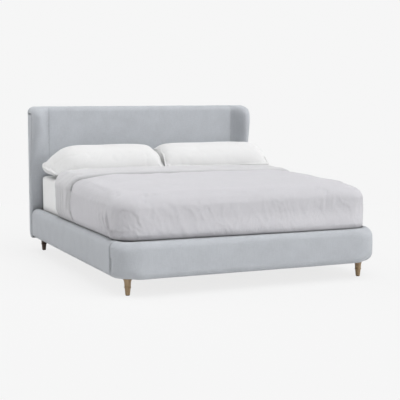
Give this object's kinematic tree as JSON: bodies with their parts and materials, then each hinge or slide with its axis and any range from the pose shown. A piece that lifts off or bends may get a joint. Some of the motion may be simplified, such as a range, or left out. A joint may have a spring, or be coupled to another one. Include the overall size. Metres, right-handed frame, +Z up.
{
  "type": "bed",
  "caption": "Upholstered bed frame with a rolled winged headboard and turned wooden legs, made up with mattress, sheet, blanket, duvet and pillows.",
  "frame": {"origin": "on the floor, under the middle of the bed's overall outline", "axes": "+Z up, +Y towards the headboard, +X to the right seen from the foot"},
  "size_m": [1.944, 2.255, 1.181],
  "materials": {
    "upholstery": "matte",
    "plywood": "matte",
    "pine": "matte",
    "slat_wood": "satin",
    "black_plastic": "matte",
    "steel": "satin",
    "black_steel": "satin",
    "oak": "satin",
    "dark_oak": "satin",
    "felt": "matte",
    "mattress_fabric": "matte",
    "white_cotton": "matte",
    "duvet_linen": "matte",
    "blanket_cloth": "matte"
  },
  "bodies": {
    "frame": {"headboard_panel": "upholstery", "wing_left": "upholstery", "wing_right": "upholstery", "headboard_back_cover": "upholstery", "side_rail_cover_left": "upholstery", "side_rail_cover_right": "upholstery", "foot_rail_cover": "upholstery", "headboard_board": "plywood", "headboard_post_left": "pine", "headboard_post_right": "pine", "headboard_rail_top": "pine", "headboard_rail_middle": "pine", "headboard_rail_bottom": "pine", "side_rail_board_left": "pine", "side_rail_board_right": "pine", "foot_rail_board": "pine", "corner_block_left": "pine", "corner_block_right": "pine", "ledger_left": "pine", "ledger_right": "pine", "centre_beam": "pine", "slat_1": "slat_wood", "slat_2": "slat_wood", "slat_3": "slat_wood", "slat_4": "slat_wood", "slat_5": "slat_wood", "slat_6": "slat_wood", "slat_7": "slat_wood", "slat_8": "slat_wood", "slat_9": "slat_wood", "slat_10": "slat_wood", "slat_11": "slat_wood", "slat_12": "slat_wood", "slat_13": "slat_wood", "slat_14": "slat_wood", "slat_holders_left": "black_plastic", "slat_holders_right": "black_plastic", "slat_saddles": "black_plastic", "head_bracket_left": "steel", "head_bracket_right": "steel", "frame_bolts": "steel", "beam_hanger_head": "steel", "beam_hanger_foot": "steel", "leg_plates": "steel", "leg_bolts": "steel", "centre_leg_front": "black_steel", "centre_leg_rear": "black_steel", "leg_front_left": "oak", "leg_front_right": "oak", "leg_rear_left": "dark_oak", "leg_rear_right": "dark_oak", "leg_glides": "felt"},
    "mattress": {"mattress": "mattress_fabric", "fitted_sheet": "white_cotton"},
    "blanket": {"blanket": "blanket_cloth"},
    "duvet": {"duvet": "duvet_linen"},
    "pillow_left": {"pillow_left": "white_cotton"},
    "pillow_right": {"pillow_right": "white_cotton"},
    "levelling_foot_front": {"levelling_foot_front": "black_steel"},
    "levelling_foot_rear": {"levelling_foot_rear": "black_steel"}
  },
  "joints": [
    {"name": "mattress_lift", "type": "slide", "parent": "frame", "child": "mattress", "axis": [0, 0, 1], "range_m": [0, 0.1]},
    {"name": "blanket_lift", "type": "slide", "parent": "mattress", "child": "blanket", "axis": [0, 0, 1], "range_m": [0, 0.15]},
    {"name": "duvet_lift", "type": "slide", "parent": "blanket", "child": "duvet", "axis": [0, 0, 1], "range_m": [0, 0.2]},
    {"name": "pillow_left_lift", "type": "slide", "parent": "mattress", "child": "pillow_left", "axis": [0, -0.4, 0.9165], "range_m": [0, 0.25]},
    {"name": "pillow_right_lift", "type": "slide", "parent": "mattress", "child": "pillow_right", "axis": [0, -0.4, 0.9165], "range_m": [0, 0.25]},
    {"name": "levelling_foot_front_screw", "type": "slide", "parent": "frame", "child": "levelling_foot_front", "axis": [0, 0, 1], "range_m": [0, 0.012]},
    {"name": "levelling_foot_rear_screw", "type": "slide", "parent": "frame", "child": "levelling_foot_rear", "axis": [0, 0, 1], "range_m": [0, 0.012]}
  ]
}
